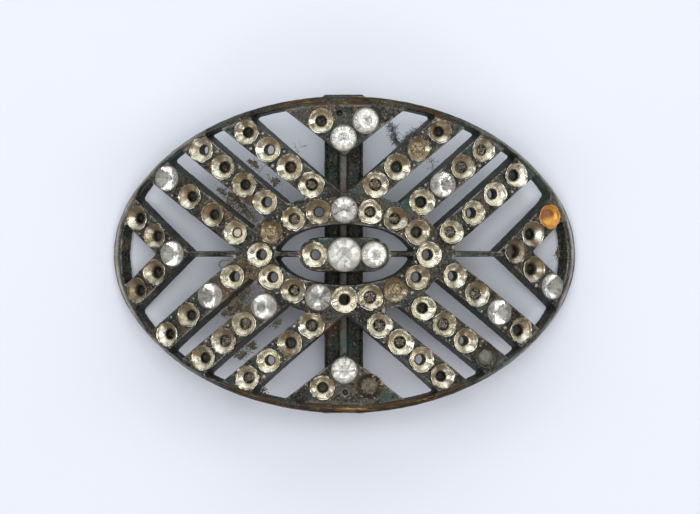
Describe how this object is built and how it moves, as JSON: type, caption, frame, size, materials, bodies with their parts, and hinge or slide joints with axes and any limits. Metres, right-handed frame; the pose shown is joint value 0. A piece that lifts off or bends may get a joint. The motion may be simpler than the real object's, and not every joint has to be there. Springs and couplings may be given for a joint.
{
  "type": "shoe buckle",
  "caption": "Oval openwork shoe buckle, arched to the instep, with radiating bars of stone cups, a central ring and eye, and a flat strap bar behind.",
  "frame": {"origin": "middle of the buckle's box, on the table that the two ends of the arch stand on", "axes": "+X along the oval to the right end seen from the front, +Y across it to the upper edge, +Z from the table out through the face"},
  "size_m": [0.06, 0.0406, 0.0126],
  "materials": {
    "dark_metal": "tarnished nearly black, with green and brown corrosion and rubbed edges",
    "clear_glass": "cut and polished, foil behind"
  },
  "bodies": {
    "root": {"frame": "dark_metal", "stone_bottom_point_inner": "clear_glass", "stone_centre": "clear_glass", "stone_eye_right": "clear_glass", "stone_left_chevron_upper_3": "clear_glass", "stone_lower_left_a_3": "clear_glass", "stone_lower_left_b_4": "clear_glass", "stone_lower_right_a_2": "clear_glass", "stone_right_chevron_lower_1": "clear_glass", "stone_ring_1": "clear_glass", "stone_ring_10": "clear_glass", "stone_top_point_inner": "clear_glass", "stone_top_point_right": "clear_glass", "stone_upper_left_a_1": "clear_glass", "stone_upper_right_b_3": "clear_glass"}
  },
  "joints": []
}
